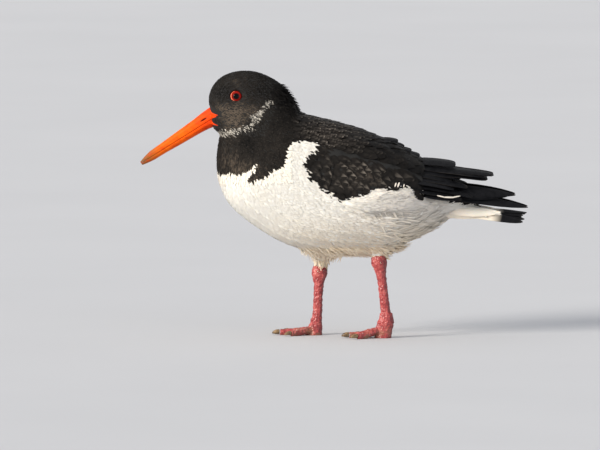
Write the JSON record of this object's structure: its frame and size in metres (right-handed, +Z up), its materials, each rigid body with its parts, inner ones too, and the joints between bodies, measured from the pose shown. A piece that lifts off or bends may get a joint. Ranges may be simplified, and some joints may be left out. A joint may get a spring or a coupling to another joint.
{
  "type": "oystercatcher",
  "caption": "Life-size wading bird standing still, long straight bill pointed down, folded wings, short tail and sturdy bare legs with splayed toes.",
  "frame": {"origin": "on the ground, below the middle of the bird's bounding box", "axes": "+Z up; the bird faces -X and its left side is -Y"},
  "size_m": [0.3176, 0.098, 0.2191],
  "materials": {
    "dark_plumage": "soft, slightly glossy black-brown feathers",
    "white_plumage": "soft white feathers",
    "bill": "satin horn, orange-red, dusky at the tip",
    "eye": "wet, deep red with a black pupil",
    "eyelid": "satin bare skin, orange-red",
    "leg_skin": "satin scaly skin, pinkish red",
    "claw": "satin horn, dark brown"
  },
  "bodies": {
    "root": {"bill_lower": "bill", "bill_upper": "bill", "claw_inner_left": "claw", "claw_inner_right": "claw", "claw_middle_left": "claw", "claw_middle_right": "claw", "claw_outer_left": "claw", "claw_outer_right": "claw", "eye_left": "eye", "eye_right": "eye", "eyelid_left": "eyelid", "eyelid_right": "eyelid", "foot_left": "leg_skin", "foot_right": "leg_skin", "head": "dark_plumage", "neck": "dark_plumage", "shank_left": "leg_skin", "shank_right": "leg_skin", "tail": "white_plumage", "thigh_left": "white_plumage", "thigh_right": "white_plumage", "torso": "white_plumage", "wing_left": "dark_plumage", "wing_right": "dark_plumage"}
  },
  "joints": []
}
